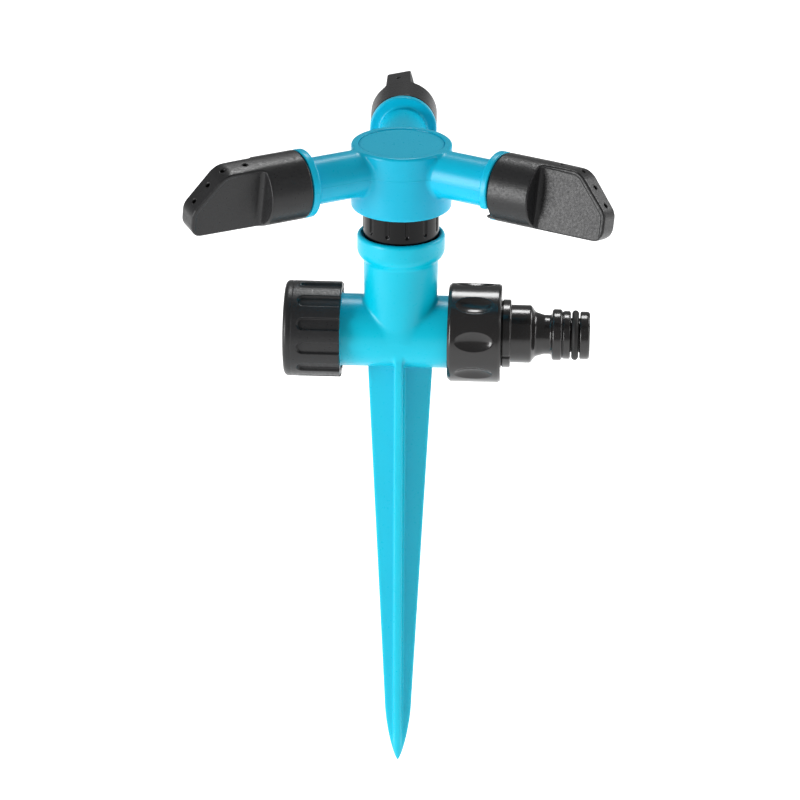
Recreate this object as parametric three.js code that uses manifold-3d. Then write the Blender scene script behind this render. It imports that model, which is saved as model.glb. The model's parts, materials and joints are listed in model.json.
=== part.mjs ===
// Three-arm rotary garden sprinkler on a ground spike, in millimetres, +Z up.
// The origin is the soil line on the spike's axis. The water pipe runs along X, with the hose
// nipple at +X and the end cap at -X, and the three nozzles turn round Z above it.
import * as THREE from "three";
import { mergeVertices } from "three/addons/utils/BufferGeometryUtils.js";
import Module from "manifold-3d";

const wasm = await Module();
wasm.setup();

// ---- driving dimensions ----
const GAP = 0.3; // rest gap between faces that touch
const FINE = 30; // facets of the outer rounds
const SEGMENTS = 20; // facets of the bores and smaller rounds
const COARSE = 16; // facets of the washers and O-rings
const THREAD_PITCH = 1.814; // 14 turns per inch, on all three threads
const THREAD_STEPS = 12; // facets in one turn of a thread

const pipe = { height: 25, outer: 12.5, bore: 10.2, left: -34.6, right: 28, crest: 13.2 };
const stopRing = { left: -21.6, right: -20.5 }; // where the end cap's rim stops
const pipeThreads = { inset: 1.2, leftEnd: -24, rightStart: 19.5 };
const socket = { outer: 12.75, top: 36.5, lipOuter: 15, lipBottom: 27, mouth: 13.4, mouthFloor: 34.9 };
const socketBore = { thread: 10.95, floor: 20.4, waterway: 7 };
const spike = { top: -3, shoulder: 11.1, shoulderZ: -15, neck: 4.85, neckZ: -144, tipZ: -169.3 };
const ribThickness = 2.8;

const cap = { outer: 16.5, left: -39.7, right: -20.2, wall: 2.5 };
const capSlots = { count: 12, width: 4, depth: 0.9, start: 5 };
const nut = { outer: 17, left: 16.6, right: 34.8, hole: 12.05, shoulder: 32.7 };
const scallops = { count: 8, firstAngle: 31, length: 12.7, width: 6.3, depth: 1.3 };
const femaleBore = 13.6; // the cap's and the nut's threads, drawn as plain bores

// The hose nipple's outer radii and where each ends, from the nut outwards.
const nipple = {
  bore: 4.6, left: 30.6, right: 65.3,
  heldCollar: 12.6,
  throat: { radius: 11.3, end: 35.3 },
  flange: { radius: 11.75, end: 38.1 },
  body: { radius: 10, end: 44.6 },
  neck: { radius: 6.8, start: 46.6, end: 51.9 },
  rib: { radius: 8.7, start: 52.3, end: 55.5 },
  ring: { radius: 8, start: 55.9, end: 58.4 },
  groove: { floor: 7, start: 58.5, end: 61.2 },
  endRing: { radius: 8.1, start: 61.3, end: 64.3 },
};

const collar = { outer: 13, bottom: 35.2, top: 45.6, tail: 25.5, root: 9.9, crest: 10.5, grooves: 12 };
const gripGroove = { halfWidth: 0.65, depth: 0.5, firstAngle: 8, start: 3.4 };
const washerSeat = { radius: 9.7, depth: 1.4 };
const spindle = { outer: 6.2, bore: 3.6, bottom: 23, flange: 9.6, flangeTop: 25.2, top: 58.8 };
const sealGroove = { floor: 5, bottom: 50.4, top: 52 }; // on the spindle, for its O-ring
const clipGroove = { floor: 5.2, bottom: 56.8, top: 58 }; // on the spindle, for the retaining ring
const clip = { inner: 5.5, outer: 8.6, bottom: 57.1, thickness: 0.6, opening: 60 };
const runningBore = 6.6; // every bore that turns on the spindle

const hub = { outer: 17.1, bottom: 46, top: 68.6, cavity: 13.4, seat: 14.6, seatZ: 66.3, floor: 48.6 };
const hubSleeve = { outer: 9.2, top: 55 };
const coverDrop = 0.5; // how far the cover lies below the drum's rim
const arm = { count: 3, firstAngle: 92.16, axis: 60.5, outer: 8, bore: 5.4, flare: 9.6, flareEnd: 22 };
const flange = { outer: 11.6, start: 36.6, end: 39.2, notchFrom: 20.5, notchTo: 64, notchFloor: 8.8 };
const spigot = { outer: 7.85, end: 48, grooveFloor: 6.6, grooveStart: 40.6, grooveEnd: 42.4 };
const bead = { radius: 8.35, start: 45.6, end: 46.2, slope: 0.6 }; // the snap ring moulded on the spigot

const nozzle = { outer: 11.6, start: 39.6, bore: 8.2, boreEnd: 49, beadGroove: 8.8, lean: 11.4 };
const paddle = { start: 54.8, flat: 56.4, thickness: 9.2, tip: 80, shell: 2.1, lowerRound: 5 };
const slope = { start: 69.1, top: 10.9, angle: 49.1 }; // the paddle's upper edge falls from here
const panel = { depth: 0.6, rim: 1.5 };
const jet = { radius: 0.85, places: [60.2, 68.1, 73.4, 77.9], depth: 6 };
const lug = { middle: 26, halfWidth: 5, reach: 2.1, inner: 9.6 };

const washers = {
  endCap: { inner: 9.4, outer: 12.9 },
  inlet: { inner: 8.2, outer: 12.6, right: 30.3 },
  seal: { inner: 6, outer: 9.8 },
  lowerThrust: { outer: 9.3, bottom: 44.5, top: 45.7 },
  upperThrust: { outer: 9.1, top: 56.5 },
};
const oRings = {
  nipple: { radius: 7.97, section: 1.3, at: 59.85 },
  spindle: { radius: 5.82, section: 0.9, at: 51.2 },
  nozzle: { radius: 7.4, section: 1, at: 41.5 },
};

// ---- colours and finishes ----
const finishes = {
  bluePlastic: { color: 0x1fb2dc, roughness: 0.45, metalness: 0 },
  blackPlastic: { color: 0x26272a, roughness: 0.5, metalness: 0 },
  glossBlack: { color: 0x151618, roughness: 0.25, metalness: 0 },
  rubber: { color: 0x1b1b1c, roughness: 0.85, metalness: 0 },
  whitePlastic: { color: 0xe8e6df, roughness: 0.5, metalness: 0 },
  steel: { color: 0xb8babd, roughness: 0.3, metalness: 1 },
};

// ---- solids: conversion, joins and cuts ----
function solid(geometry) {
  const plain = geometry.index ? geometry.toNonIndexed() : geometry.clone();
  plain.deleteAttribute("normal");
  plain.deleteAttribute("uv");
  const merged = mergeVertices(plain, 1e-4);
  const { array } = merged.attributes.position;
  return new wasm.Manifold(
    new wasm.Mesh({ numProp: 3, vertProperties: array, triVerts: new Uint32Array(merged.index.array) }),
  );
}

function geometryOf(body) {
  const { vertProperties, numProp, triVerts } = body.getMesh();
  const positions = new Float32Array((vertProperties.length / numProp) * 3);
  for (let i = 0; i < positions.length / 3; i++)
    positions.set(vertProperties.subarray(i * numProp, i * numProp + 3), i * 3);
  const geometry = new THREE.BufferGeometry();
  geometry.setAttribute("position", new THREE.BufferAttribute(positions, 3));
  geometry.setIndex(new THREE.BufferAttribute(triVerts, 1));
  geometry.computeVertexNormals();
  return geometry;
}

const join = (bodies) => bodies.reduce((whole, body) => whole.add(body));
const cut = (body, tools) => tools.reduce((left, tool) => left.subtract(tool), body);

// A closed profile of [radius, height] points, counter-clockwise, turned round Z.
function turned(profile, segments = SEGMENTS) {
  const points = [...profile, profile[0]].map(([radius, height]) => new THREE.Vector2(radius, height));
  return solid(new THREE.LatheGeometry(points, segments).rotateX(Math.PI / 2));
}

function ring(inner, outer, bottom, top, segments = SEGMENTS) {
  return turned([[inner, bottom], [outer, bottom], [outer, top], [inner, top]], segments);
}

function rod(radius, bottom, top, segments = SEGMENTS) {
  const geometry = new THREE.CylinderGeometry(radius, radius, top - bottom, segments);
  return solid(geometry.rotateX(Math.PI / 2).translate(0, 0, (top + bottom) / 2));
}

function box(x, y, z) {
  const geometry = new THREE.BoxGeometry(x[1] - x[0], y[1] - y[0], z[1] - z[0]);
  return solid(geometry.translate((x[0] + x[1]) / 2, (y[0] + y[1]) / 2, (z[0] + z[1]) / 2));
}

// Lays a body that was turned round Z along X, then turns it round Z by an angle in degrees.
const alongX = (body, angle = 0) => body.rotate([0, 90, 0]).rotate([0, 0, angle]);

// A right-handed thread's ridge: a long box of tapered section wound round Z, fading out at both ends.
function threadRidge({ root, crest, from, to }) {
  const turns = (to - from) / THREAD_PITCH;
  const sunk = 0.4; // how far the ridge reaches into its cylinder
  const baseWidth = 1.4;
  const crestWidth = 0.5;
  const geometry = new THREE.BoxGeometry(1, 1, 1, 1, Math.round(turns * THREAD_STEPS), 1);
  const position = geometry.attributes.position;
  for (let i = 0; i < position.count; i++) {
    const outward = position.getX(i) + 0.5;
    const along = position.getY(i) + 0.5;
    const angle = along * turns * 2 * Math.PI;
    const fade = Math.min(1, along * turns * 4, (1 - along) * turns * 4);
    const radius = root - sunk + outward * (sunk + (crest - root) * fade - 0.05 * (1 - fade));
    const width = baseWidth + (crestWidth - baseWidth) * outward;
    const height = from + (to - from) * along + position.getZ(i) * width;
    position.setXYZ(i, radius * Math.cos(angle), radius * Math.sin(angle), height);
  }
  return solid(geometry);
}

// An O-ring lying round Z.
function oRing({ radius, section, at }) {
  return solid(new THREE.TorusGeometry(radius, section / 2, 6, COARSE).translate(0, 0, at));
}

// ---- body, pipe and spike: one moulding ----
// The spike's half width: a straight taper, then an ogive down to the point.
function spikeHalfWidth(z) {
  if (z > spike.neckZ) {
    const widening = (spike.shoulder - spike.neck) / (spike.shoulderZ - spike.neckZ);
    return Math.min(spike.shoulder, spike.neck + widening * (z - spike.neckZ));
  }
  const fromNeck = (spike.neckZ - z) / (spike.neckZ - spike.tipZ);
  return spike.neck * Math.sqrt(Math.max(0, 1 - fromNeck ** 1.9));
}

function spikeBlade() {
  const flatFacets = 24; // a facet's flat then covers a rib's edge
  const facetStretch = 1 / Math.cos(Math.PI / flatFacets);
  const tipSteps = 6; // closer together towards the point
  const tipHeights = Array.from(
    { length: tipSteps + 1 },
    (_, i) => spike.neckZ + (spike.tipZ - spike.neckZ) * Math.sin((i / tipSteps) * (Math.PI / 2)),
  );
  const heights = [spike.top, spike.shoulderZ, ...tipHeights];
  const outline = heights.map((z) => new THREE.Vector2(spikeHalfWidth(z) * facetStretch, z)).reverse();
  outline.push(new THREE.Vector2(0, spike.top));
  const envelopeGeometry = new THREE.LatheGeometry(outline, flatFacets, Math.PI / flatFacets);
  const envelope = solid(envelopeGeometry.rotateX(Math.PI / 2));
  const reach = [-spike.shoulder - 1, spike.shoulder + 1];
  const half = [-ribThickness / 2, ribThickness / 2];
  const height = [spike.tipZ - 1, spike.top];
  return box(reach, half, height).add(box(half, reach, height)).intersect(envelope);
}

function spikeBody() {
  const pipeSide = alongX(rod(pipe.outer, pipe.left, pipe.right, FINE));
  const capStop = alongX(rod(pipe.crest, stopRing.left, stopRing.right, FINE));
  const threadSize = { root: pipe.outer, crest: pipe.crest };
  const leftThread = alongX(
    threadRidge({ ...threadSize, from: pipe.left + pipeThreads.inset, to: pipeThreads.leftEnd }),
  );
  const rightThread = alongX(
    threadRidge({ ...threadSize, from: pipeThreads.rightStart, to: pipe.right - pipeThreads.inset }),
  );
  const socketSide = turned(
    [
      [0, 0],
      [socket.outer, 0],
      [socket.outer, socket.lipBottom],
      [socket.lipOuter, socket.lipBottom + 1.6],
      [socket.lipOuter, socket.top - 0.8],
      [socket.lipOuter - 0.8, socket.top],
      [0, socket.top],
    ],
    FINE,
  );
  const waterway = alongX(rod(pipe.bore, pipe.left - 1, pipe.right + 1));
  const riser = rod(socketBore.waterway, 0, socketBore.floor + 1);
  const threadedBore = rod(socketBore.thread, socketBore.floor, socket.top + 1);
  const mouth = rod(socket.mouth, socket.mouthFloor, socket.top + 1, FINE);
  const outside = join([pipeSide, capStop, leftThread, rightThread, socketSide, spikeBlade()]);
  return cut(outside, [waterway, riser, threadedBore, mouth]);
}

// ---- end cap and its washer ----
function endCap() {
  const shell = turned(
    [
      [0, cap.left],
      [cap.outer - 1.2, cap.left],
      [cap.outer - 0.3, cap.left + 0.5],
      [cap.outer, cap.left + 1.4],
      [cap.outer, cap.right],
      [femaleBore, cap.right],
      [femaleBore, cap.left + cap.wall],
      [0, cap.left + cap.wall],
    ],
    FINE,
  );
  const slots = Array.from({ length: capSlots.count }, (_, i) =>
    box(
      [cap.outer - capSlots.depth, cap.outer + 2],
      [-capSlots.width / 2, capSlots.width / 2],
      [cap.left + capSlots.start, cap.right + 1],
    ).rotate([0, 0, (i + 0.5) * (360 / capSlots.count)]),
  );
  return alongX(cut(shell, slots));
}

function endCapWasher() {
  const { inner, outer } = washers.endCap;
  return alongX(ring(inner, outer, cap.left + cap.wall + GAP, pipe.left - GAP));
}

// ---- hose end: swivel nut, nipple, washer and O-ring ----
function inletNut() {
  const shell = turned(
    [
      [femaleBore, nut.left],
      [nut.outer - 1, nut.left],
      [nut.outer, nut.left + 1.2],
      [nut.outer, nut.right - 3],
      [nut.outer - 1.2, nut.right - 1],
      [nut.outer - 2.6, nut.right],
      [nut.hole, nut.right],
      [nut.hole, nut.shoulder],
      [femaleBore, nut.shoulder],
    ],
    FINE,
  );
  const middle = (nut.left + nut.right) / 2;
  const hollows = Array.from({ length: scallops.count }, (_, i) => {
    const geometry = new THREE.SphereGeometry(0.5, 10, 6).rotateY(Math.PI / 2);
    geometry.scale(scallops.depth * 2, scallops.width, scallops.length);
    const angle = scallops.firstAngle + (i * 360) / scallops.count;
    return solid(geometry.translate(nut.outer, 0, middle)).rotate([0, 0, angle]);
  });
  return alongX(cut(shell, hollows));
}

function inletNipple() {
  const { left, right, throat, flange: rim, body, neck, rib, ring: step, groove, endRing } = nipple;
  const profile = [
    [nipple.bore, left],
    [nipple.heldCollar, left],
    [nipple.heldCollar, nut.shoulder - GAP],
    [throat.radius, nut.shoulder - GAP],
    [throat.radius, throat.end],
    [rim.radius, throat.end],
    [rim.radius, rim.end],
    [body.radius, rim.end],
    [body.radius, body.end],
    [neck.radius, neck.start],
    [neck.radius, neck.end],
    [rib.radius, rib.start],
    [rib.radius, rib.end],
    [step.radius, step.start],
    [step.radius, step.end],
    [groove.floor, groove.start],
    [groove.floor, groove.end],
    [endRing.radius, endRing.start],
    [endRing.radius, endRing.end],
    [endRing.radius - 0.7, right],
    [nipple.bore, right],
  ];
  return alongX(turned(profile));
}

function inletWasher() {
  const { inner, outer, right } = washers.inlet;
  return alongX(ring(inner, outer, pipe.right + GAP, right));
}

const nippleORing = () => alongX(oRing(oRings.nipple));

// ---- head: screwed collar, hollow spindle, seal, thrust washers and retaining ring ----
function headCollar() {
  const seatFloor = collar.top - washerSeat.depth;
  const shell = turned(
    [
      [runningBore, collar.tail],
      [collar.root, collar.tail],
      [collar.root, collar.bottom],
      [collar.outer - 1.4, collar.bottom],
      [collar.outer - 0.4, collar.bottom + 0.5],
      [collar.outer, collar.bottom + 1.5],
      [collar.outer, collar.top],
      [washerSeat.radius, collar.top],
      [washerSeat.radius, seatFloor],
      [runningBore, seatFloor],
    ],
    FINE,
  );
  const thread = threadRidge({
    root: collar.root,
    crest: collar.crest,
    from: collar.tail + 1.2,
    to: socket.mouthFloor - 1.6,
  });
  const gripGrooves = Array.from({ length: collar.grooves }, (_, i) =>
    box(
      [collar.outer - gripGroove.depth, collar.outer + 1],
      [-gripGroove.halfWidth, gripGroove.halfWidth],
      [collar.bottom + gripGroove.start, collar.top + 1],
    ).rotate([0, 0, gripGroove.firstAngle + (i * 360) / collar.grooves]),
  );
  return cut(shell.add(thread), gripGrooves);
}

function headSpindle() {
  return turned([
    [spindle.bore, spindle.bottom],
    [spindle.flange, spindle.bottom],
    [spindle.flange, spindle.flangeTop],
    [spindle.outer, spindle.flangeTop],
    [spindle.outer, sealGroove.bottom],
    [sealGroove.floor, sealGroove.bottom],
    [sealGroove.floor, sealGroove.top],
    [spindle.outer, sealGroove.top],
    [spindle.outer, clipGroove.bottom],
    [clipGroove.floor, clipGroove.bottom],
    [clipGroove.floor, clipGroove.top],
    [spindle.outer, clipGroove.top],
    [spindle.outer, spindle.top],
    [spindle.bore, spindle.top],
  ]);
}

function headSeal() {
  const { inner, outer } = washers.seal;
  return ring(inner, outer, socketBore.floor + GAP, spindle.bottom - GAP, COARSE);
}

function lowerThrustWasher() {
  const { outer, bottom, top } = washers.lowerThrust;
  return ring(runningBore, outer, bottom, top, COARSE);
}

function upperThrustWasher() {
  const { outer, top } = washers.upperThrust;
  return ring(runningBore, outer, hubSleeve.top + GAP, top, COARSE);
}

const spindleORing = () => oRing(oRings.spindle);

// A spring-steel C ring that snaps into the spindle's top groove.
function retainingRing() {
  const start = THREE.MathUtils.degToRad(clip.opening / 2);
  const outline = new THREE.Shape();
  outline.absarc(0, 0, clip.outer, start, 2 * Math.PI - start, false);
  outline.absarc(0, 0, clip.inner, 2 * Math.PI - start, start, true);
  outline.closePath();
  const settings = { depth: clip.thickness, bevelEnabled: false, curveSegments: 12 };
  return solid(new THREE.ExtrudeGeometry(outline, settings).translate(0, 0, clip.bottom));
}

// ---- rotor: hub with three arms, cover disc ----
const armAngles = Array.from({ length: arm.count }, (_, i) => arm.firstAngle + (i * 360) / arm.count);

// One arm's outside, along X: a flare out of the hub, the tube, the flange and the spigot.
function armOutside() {
  return alongX(
    turned([
      [0, 8],
      [arm.flare, hub.outer - 1.5],
      [arm.outer + 0.4, hub.outer + 1.6],
      [arm.outer, arm.flareEnd],
      [arm.outer, flange.start - 1.2],
      [arm.outer + 1, flange.start],
      [flange.outer, flange.start],
      [flange.outer, flange.end],
      [spigot.outer, flange.end],
      [spigot.outer, spigot.grooveStart],
      [spigot.grooveFloor, spigot.grooveStart],
      [spigot.grooveFloor, spigot.grooveEnd],
      [spigot.outer, spigot.grooveEnd],
      [spigot.outer, bead.start - bead.slope],
      [bead.radius, bead.start],
      [bead.radius, bead.end],
      [spigot.outer, bead.end + bead.slope],
      [spigot.outer, spigot.end],
      [0, spigot.end],
    ]),
  );
}

// The gap in the flange's lower rim that the nozzle's lug runs in, on the arm's -Y side.
function limitNotch() {
  const outline = new THREE.Shape();
  const from = THREE.MathUtils.degToRad(270 - flange.notchTo);
  const to = THREE.MathUtils.degToRad(270 - flange.notchFrom);
  outline.absarc(0, 0, flange.outer + 2, from, to, false);
  outline.absarc(0, 0, flange.notchFloor, to, from, true);
  outline.closePath();
  const beyond = 1.1; // the cut runs this far past both faces
  const depth = flange.end - flange.start + 2 * beyond;
  const geometry = new THREE.ExtrudeGeometry(outline, { depth, bevelEnabled: false, curveSegments: 6 });
  // The outline is drawn in Y and Z, and its depth runs along X.
  geometry.rotateX(Math.PI / 2).rotateZ(Math.PI / 2);
  return solid(geometry.translate(flange.start - beyond, 0, 0));
}

function rotorHub() {
  const edge = 0.9; // small rounds, drawn as chamfers
  const drum = turned(
    [
      [0, hub.bottom],
      [hub.outer - edge, hub.bottom],
      [hub.outer, hub.bottom + edge],
      [hub.outer, hub.top - edge],
      [hub.outer - edge, hub.top],
      [0, hub.top],
    ],
    FINE,
  );
  const arms = armAngles.map((angle) =>
    armOutside().subtract(limitNotch()).rotate([0, 0, angle]).translate([0, 0, arm.axis]),
  );
  const cavity = rod(hub.cavity, hub.floor, hub.top + 1);
  const coverSeat = rod(hub.seat, hub.seatZ, hub.top + 1, FINE);
  const armBores = armAngles.map((angle) =>
    alongX(rod(arm.bore, 0, spigot.end + 1, COARSE), angle).translate([0, 0, arm.axis]),
  );
  // The flares stand a little proud of the drum's top and bottom, so they are trimmed to its height.
  const reach = spigot.end + 1;
  const inner = rod(arm.flareEnd + 1, hub.bottom, hub.top);
  const outer = ring(arm.flareEnd, reach, arm.axis - flange.outer - 1, arm.axis + flange.outer + 1);
  const outside = join([drum, ...arms]).intersect(inner.add(outer));
  const shell = cut(outside, [cavity, coverSeat, ...armBores]);
  const sleeve = rod(hubSleeve.outer, hub.bottom + 1, hubSleeve.top);
  return shell.add(sleeve).subtract(rod(runningBore, hub.bottom - 1, hubSleeve.top + 1));
}

const hubCover = () =>
  turned(
    [
      [0, hub.seatZ + GAP],
      [hub.seat - GAP, hub.seatZ + GAP],
      [hub.seat - GAP, hub.top - coverDrop - 0.3],
      [hub.seat - GAP - 0.4, hub.top - coverDrop],
      [0, hub.top - coverDrop],
    ],
    FINE,
  );

// ---- nozzles, along X, with the jets on the upper edge ----
const fall = Math.tan(THREE.MathUtils.degToRad(slope.angle));
const edgeHeight = (x) => slope.top - Math.max(0, x - slope.start) * fall;

// The paddle's side outline: a nearly level top, a slope down to the tip, a round lower corner.
// inset draws it in on every side but the left.
function paddleOutline(inset, left) {
  const tip = paddle.tip - inset;
  const bottom = -nozzle.outer + inset;
  const round = paddle.lowerRound - inset;
  const lowered = inset / Math.cos(THREE.MathUtils.degToRad(slope.angle)); // the slope's own drop
  const corner = slope.start - (lowered - inset) / fall;
  const outline = new THREE.Shape();
  outline.moveTo(left, bottom);
  outline.lineTo(tip - round, bottom);
  outline.absarc(tip - round, bottom + round, round, -Math.PI / 2, 0, false);
  outline.lineTo(tip, edgeHeight(tip) - lowered - 0.8);
  outline.lineTo(tip - 0.9, edgeHeight(tip - 0.9) - lowered);
  outline.lineTo(corner + 0.8, edgeHeight(corner + 0.8) - lowered);
  outline.quadraticCurveTo(corner, slope.top - inset, corner - 1.4, slope.top - inset);
  outline.lineTo(left, nozzle.outer - inset);
  outline.closePath();
  return outline;
}

// A plate of the outline's shape, standing in the arm's upright plane between two values of Y.
function uprightPlate(outline, y) {
  const settings = { depth: y[1] - y[0], bevelEnabled: false, curveSegments: 6 };
  return solid(new THREE.ExtrudeGeometry(outline, settings).rotateX(Math.PI / 2).translate(0, y[1], 0));
}

// Scoops away one side of the round barrel, down to the paddle's flat side.
function sideScoop() {
  const half = paddle.thickness / 2;
  const radius = paddle.flat - paddle.start;
  const outline = new THREE.Shape();
  outline.absarc(paddle.flat, half + radius, radius, -Math.PI / 2, -Math.PI, true);
  outline.lineTo(paddle.start, nozzle.outer + 2);
  outline.lineTo(paddle.tip, nozzle.outer + 2);
  outline.lineTo(paddle.tip, half);
  outline.closePath();
  const depth = 2 * nozzle.outer + 4;
  const settings = { depth, bevelEnabled: false, curveSegments: 6 };
  return solid(new THREE.ExtrudeGeometry(outline, settings).translate(0, 0, -depth / 2));
}

// A shallow panel in the paddle's side, open at the bottom, with a rim along the top and the tip.
function sidePanel() {
  const half = paddle.thickness / 2;
  const bottom = -nozzle.outer - 1;
  const left = paddle.start;
  const tip = paddle.tip - panel.rim;
  const lowered = panel.rim / Math.cos(THREE.MathUtils.degToRad(slope.angle));
  const round = paddle.lowerRound - panel.rim;
  const outline = new THREE.Shape();
  outline.moveTo(left, bottom);
  outline.lineTo(tip - round, bottom);
  outline.lineTo(tip, -nozzle.outer + round);
  outline.lineTo(tip, edgeHeight(tip) - lowered);
  outline.lineTo(slope.start - 1, edgeHeight(slope.start - 1) - panel.rim);
  outline.lineTo(left, slope.top - panel.rim);
  outline.closePath();
  return uprightPlate(outline, [half - panel.depth, half + 1]);
}

function jetBore(x) {
  const lean = x < slope.start ? 0 : slope.angle;
  const bore = rod(jet.radius, -jet.depth, 2, 8).rotate([0, lean, 0]);
  return bore.translate([x, 0, edgeHeight(x)]);
}

function nozzleBody() {
  const half = paddle.thickness / 2;
  const barrelEnd = 64; // the barrel's round, under the scoops
  const barrel = alongX(rod(nozzle.outer, nozzle.start, barrelEnd, FINE));
  const scoop = sideScoop();
  const rounded = cut(barrel, [scoop, scoop.mirror([0, 1, 0])]);
  const crown = alongX(rod(nozzle.outer, nozzle.start, paddle.tip + 1, FINE));
  const outline = paddleOutline(0, paddle.start - 2);
  const blade = uprightPlate(outline, [-half, half]).intersect(crown);
  const around = [-nozzle.outer - 1, nozzle.outer + 1];
  const barrelRoom = box([nozzle.start - 1, paddle.start], around, around);
  const body = rounded.intersect(barrelRoom.add(uprightPlate(outline, around))).add(blade);
  const chamberHalf = half - panel.depth - 1.5;
  const chamber = uprightPlate(paddleOutline(paddle.shell, nozzle.boreEnd - 1), [-chamberHalf, chamberHalf]);
  const grooveSlope = 0.5;
  const bore = alongX(
    turned([
      [0, nozzle.start - 1],
      [nozzle.bore, nozzle.start - 1],
      [nozzle.bore, bead.start - 2 * grooveSlope],
      [nozzle.beadGroove, bead.start - grooveSlope],
      [nozzle.beadGroove, bead.end + grooveSlope + 0.1],
      [nozzle.bore, bead.end + 2 * grooveSlope + 0.1],
      [nozzle.bore, nozzle.boreEnd],
      [0, nozzle.boreEnd],
    ]),
  );
  const side = sidePanel();
  const jets = jet.places.map(jetBore);
  return cut(body, [bore, chamber, side, side.mirror([0, 1, 0]), ...jets]).add(stopLug());
}

// The lug on the barrel's inner end that runs in the flange's notch, middle degrees from its bottom.
function stopLug() {
  const outline = new THREE.Shape();
  const low = THREE.MathUtils.degToRad(270 - lug.middle - lug.halfWidth);
  const high = THREE.MathUtils.degToRad(270 - lug.middle + lug.halfWidth);
  outline.absarc(0, 0, nozzle.outer, low, high, false);
  outline.absarc(0, 0, lug.inner, high, low, true);
  outline.closePath();
  const sunk = 1;
  const settings = { depth: lug.reach + sunk, bevelEnabled: false, curveSegments: 3 };
  const geometry = new THREE.ExtrudeGeometry(outline, settings);
  geometry.rotateX(Math.PI / 2).rotateZ(Math.PI / 2);
  return solid(geometry.translate(nozzle.start - lug.reach, 0, 0));
}

const nozzleORing = () => alongX(oRing(oRings.nozzle));

// ---- the assembly ----
const sprinkler = new THREE.Group();
sprinkler.name = "sprinkler";

const working = new THREE.Group();
working.position.z = pipe.height;
sprinkler.add(working);

function place(name, body, finish, parent = working) {
  const mesh = new THREE.Mesh(geometryOf(body), new THREE.MeshStandardMaterial(finishes[finish]));
  mesh.name = name;
  parent.add(mesh);
}

place("spike_body", spikeBody(), "bluePlastic");
place("end_cap", endCap(), "blackPlastic");
place("end_cap_washer", endCapWasher(), "rubber");
place("inlet_nut", inletNut(), "glossBlack");
place("inlet_nipple", inletNipple(), "glossBlack");
place("inlet_washer", inletWasher(), "rubber");
place("nipple_o_ring", nippleORing(), "rubber");
place("head_collar", headCollar(), "glossBlack");
place("head_spindle", headSpindle(), "whitePlastic");
place("head_seal", headSeal(), "rubber");
place("spindle_o_ring", spindleORing(), "rubber");
place("lower_thrust_washer", lowerThrustWasher(), "whitePlastic");
place("upper_thrust_washer", upperThrustWasher(), "whitePlastic");
place("retaining_ring", retainingRing(), "steel");
place("rotor_hub", rotorHub(), "bluePlastic");
place("hub_cover", hubCover(), "bluePlastic");

armAngles.forEach((angle, i) => {
  const side = new THREE.Group();
  side.position.z = arm.axis;
  side.rotation.z = THREE.MathUtils.degToRad(angle);
  working.add(side);
  const leaning = new THREE.Group(); // turned on its spigot, so that the jets drive the rotor
  leaning.rotation.x = -THREE.MathUtils.degToRad(nozzle.lean);
  side.add(leaning);
  place(`nozzle_${i + 1}`, nozzleBody(), "blackPlastic", leaning);
  place(`nozzle_o_ring_${i + 1}`, nozzleORing(), "rubber", side);
});

export default sprinkler;
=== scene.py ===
import json
import math

import bmesh
import bpy
import numpy as np
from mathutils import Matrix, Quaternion, Vector


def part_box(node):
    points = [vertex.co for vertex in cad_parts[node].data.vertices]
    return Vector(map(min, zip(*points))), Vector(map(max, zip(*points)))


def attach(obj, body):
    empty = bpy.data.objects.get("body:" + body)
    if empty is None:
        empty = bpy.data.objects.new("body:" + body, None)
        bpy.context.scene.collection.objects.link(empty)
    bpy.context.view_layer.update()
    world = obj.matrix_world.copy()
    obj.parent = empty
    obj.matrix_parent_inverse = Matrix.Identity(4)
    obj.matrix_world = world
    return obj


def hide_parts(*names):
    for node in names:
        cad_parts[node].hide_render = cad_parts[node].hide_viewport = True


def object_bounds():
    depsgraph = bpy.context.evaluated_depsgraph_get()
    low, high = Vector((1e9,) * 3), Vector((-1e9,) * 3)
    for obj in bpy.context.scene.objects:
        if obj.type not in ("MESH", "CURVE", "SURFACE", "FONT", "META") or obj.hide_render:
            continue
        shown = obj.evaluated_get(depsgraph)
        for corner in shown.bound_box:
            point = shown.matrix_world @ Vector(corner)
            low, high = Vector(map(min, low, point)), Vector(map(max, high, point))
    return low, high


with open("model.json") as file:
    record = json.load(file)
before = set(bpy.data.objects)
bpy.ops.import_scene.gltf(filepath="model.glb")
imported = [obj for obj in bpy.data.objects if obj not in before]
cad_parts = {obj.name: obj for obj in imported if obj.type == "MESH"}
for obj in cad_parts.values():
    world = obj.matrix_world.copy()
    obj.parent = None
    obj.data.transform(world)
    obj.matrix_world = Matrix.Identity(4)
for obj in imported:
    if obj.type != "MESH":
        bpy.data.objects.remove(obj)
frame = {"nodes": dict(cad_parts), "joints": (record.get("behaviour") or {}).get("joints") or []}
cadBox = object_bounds()

# Everything below is drawn in millimetres round the water pipe's axis: x along the pipe towards the
# hose nipple, z up from the pipe's axis, and the rotor's axis at x = y = 0.
millimetre = 0.001


def nodeBox(node):  # lowest and highest corner of a CAD node, in millimetres
    low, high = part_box(node)
    return np.array(low) / millimetre, np.array(high) / millimetre


capLow, capHigh = nodeBox("end_cap")
nutLow, nutHigh = nodeBox("inlet_nut")
collarLow, collarHigh = nodeBox("head_collar")
hubLow, hubHigh = nodeBox("rotor_hub")
pipeHeight = (capLow[2] + capHigh[2]) / 2
joints = {joint["name"]: joint for joint in frame["joints"]}
sides = ["back", "left", "right"]
armAngles = [
    math.atan2(-joints[f"nozzle_{side}_turn"]["axis"][1], -joints[f"nozzle_{side}_turn"]["axis"][0])
    for side in sides
]
armHeight = joints["nozzle_back_turn"]["pos_m"][2] / millimetre - pipeHeight


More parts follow.
